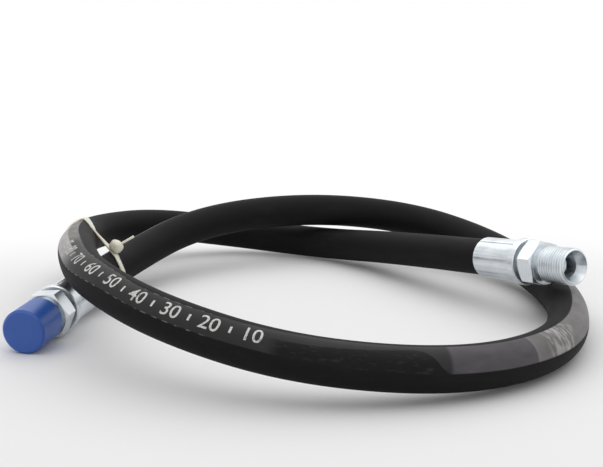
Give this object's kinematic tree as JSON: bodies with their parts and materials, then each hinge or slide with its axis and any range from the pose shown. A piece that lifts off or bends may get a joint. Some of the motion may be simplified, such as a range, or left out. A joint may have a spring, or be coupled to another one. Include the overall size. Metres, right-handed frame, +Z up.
{
  "type": "hydraulic hose assembly",
  "caption": "Steel-braided rubber hydraulic hose lying in a loose loop, crimped male thread fittings at both ends, a thread cap on one and a strap tie round the loop.",
  "frame": {"origin": "on the ground, under the middle of the box round the two end fittings, the cap and the tie", "axes": "+X from the capped end to the open end, as the picture shows them left to right; +Y away from the picture's viewer; +Z up"},
  "size_m": [0.318, 0.3462, 0.0526],
  "materials": {
    "cover_rubber": "black, satin, faint cloth print of the curing wrap",
    "liner_rubber": "black, smooth",
    "braid_wire": "brass-coated high tensile wire braid",
    "ferrule_plating": "zinc plated steel, satin, pale bluish",
    "fitting_plating": "zinc plated steel, turned, bright",
    "cap_plastic": "blue polyethylene, satin",
    "tie_nylon": "natural cream nylon"
  },
  "bodies": {
    "hose_assembly": {"hose_inner_tube": "liner_rubber", "hose_inner_braid": "braid_wire", "hose_interlayer": "liner_rubber", "hose_outer_braid": "braid_wire", "hose_cover": "cover_rubber", "left_ferrule": "ferrule_plating", "left_fitting": "fitting_plating", "right_ferrule": "ferrule_plating", "right_fitting": "fitting_plating", "cable_tie": "tie_nylon"},
    "cap": {"thread_cap": "cap_plastic"}
  },
  "joints": [
    {"name": "cap_pull_off", "type": "slide", "parent": "hose_assembly", "child": "cap", "axis": [-0.2002, -0.9787, -0.0445], "range_m": [-0.002, 0.03]}
  ]
}
